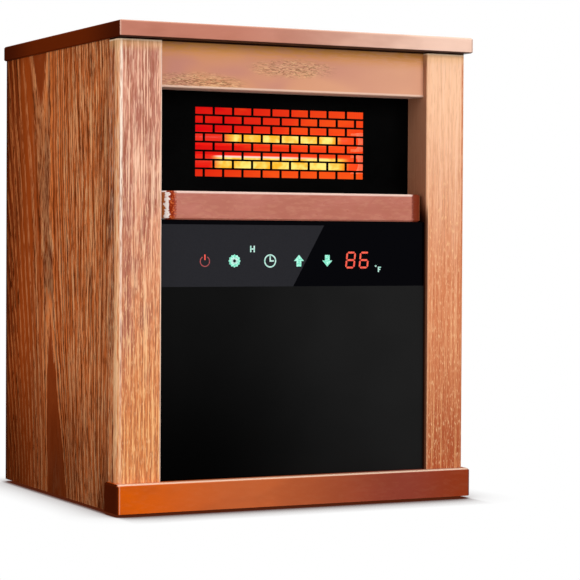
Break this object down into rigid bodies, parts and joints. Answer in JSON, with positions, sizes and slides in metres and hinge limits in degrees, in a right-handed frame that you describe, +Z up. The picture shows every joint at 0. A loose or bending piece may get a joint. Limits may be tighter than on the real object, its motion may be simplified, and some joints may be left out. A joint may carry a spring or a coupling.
{
  "type": "cabinet space heater",
  "caption": "Upright wood-cased electric heater with a brick-pattern warm-air grille over glowing tubes, a touch control glass, a gloss black lower front and a rear intake filter.",
  "frame": {"origin": "centre of the object's box at floor level, under the feet", "axes": "+Z up, the front faces -Y, +X to the right seen from the front"},
  "size_m": [0.3324, 0.288, 0.4025],
  "materials": {
    "wood_top": "satin",
    "wood_panel": "satin",
    "wood_frame": "satin",
    "wood_rail": "satin",
    "plain_board": "matte",
    "grille_black": "matte",
    "gloss_black": "gloss",
    "control_glass": "gloss",
    "rear_black": "matte",
    "black_plastic": "matte",
    "rocker_red": "gloss",
    "plunger_white": "satin",
    "filter_mesh": "matte",
    "sheet_steel": "satin",
    "shaft_steel": "satin",
    "bright_sheet": "polished",
    "rotor_aluminium": "satin",
    "quartz": "gloss",
    "heating_wire": "satin",
    "white_ceramic": "matte",
    "ptc_ceramic": "matte",
    "brass": "satin",
    "rubber": "matte",
    "circuit_board": "satin",
    "dark_electronics": "satin",
    "contact_pad": "satin"
  },
  "bodies": {
    "cabinet": {"top_panel": "wood_top", "left_side_panel": "wood_panel", "right_side_panel": "wood_panel", "left_stile": "wood_frame", "right_stile": "wood_frame", "header_rail": "wood_frame", "mid_rail": "wood_rail", "plinth_rail": "wood_rail", "base_panel": "plain_board", "rear_cleats": "plain_board", "outlet_grille": "grille_black", "lower_front_panel": "gloss_black", "control_glass": "control_glass", "rear_panel": "rear_black", "cord_gland": "black_plastic", "gland_locknut": "black_plastic", "control_tray": "black_plastic", "rocker_housing": "black_plastic", "tip_switch_body": "black_plastic", "ptc_frame": "black_plastic", "terminal_block": "black_plastic", "heat_duct": "sheet_steel", "heater_stand": "sheet_steel", "blower_guide_wall": "sheet_steel", "blower_tongue": "sheet_steel", "blower_left_end_plate": "sheet_steel", "blower_right_end_plate": "sheet_steel", "blower_motor": "sheet_steel", "thermal_cutout": "sheet_steel", "reflector": "bright_sheet", "upper_quartz_tube": "quartz", "lower_quartz_tube": "quartz", "heating_elements": "heating_wire", "tube_end_caps": "white_ceramic", "ptc_core": "ptc_ceramic", "tube_terminals": "brass", "shaft_bush": "brass", "rubber_feet": "rubber", "control_board": "circuit_board", "power_board": "circuit_board", "display_module": "dark_electronics", "relays": "dark_electronics", "touch_pads": "contact_pad", "board_standoffs": "contact_pad"},
    "rotor": {"blower_rotor": "rotor_aluminium", "rotor_shaft": "shaft_steel"},
    "rocker": {"rocker_button": "rocker_red"},
    "plunger": {"tip_switch_plunger": "plunger_white"},
    "filter": {"filter_frame": "black_plastic", "filter_mesh": "filter_mesh"}
  },
  "joints": [
    {"name": "blower_spin", "type": "hinge", "parent": "cabinet", "child": "rotor", "pos_m": [0, 0.0043, 0.30985], "axis": [1, 0, 0], "continuous": true},
    {"name": "power_rocker", "type": "hinge", "parent": "cabinet", "child": "rocker", "pos_m": [0.038, 0.129, 0.0604], "axis": [1, 0, 0], "range_deg": [-16, 0]},
    {"name": "tip_plunger", "type": "slide", "parent": "cabinet", "child": "plunger", "axis": [0, 0, 1], "range_m": [-0.006, 0.0015], "stiffness_N_per_m": 120, "springref_m": -0.008},
    {"name": "filter_pull", "type": "slide", "parent": "cabinet", "child": "filter", "axis": [0, 1, 0], "range_m": [0, 0.05]}
  ]
}
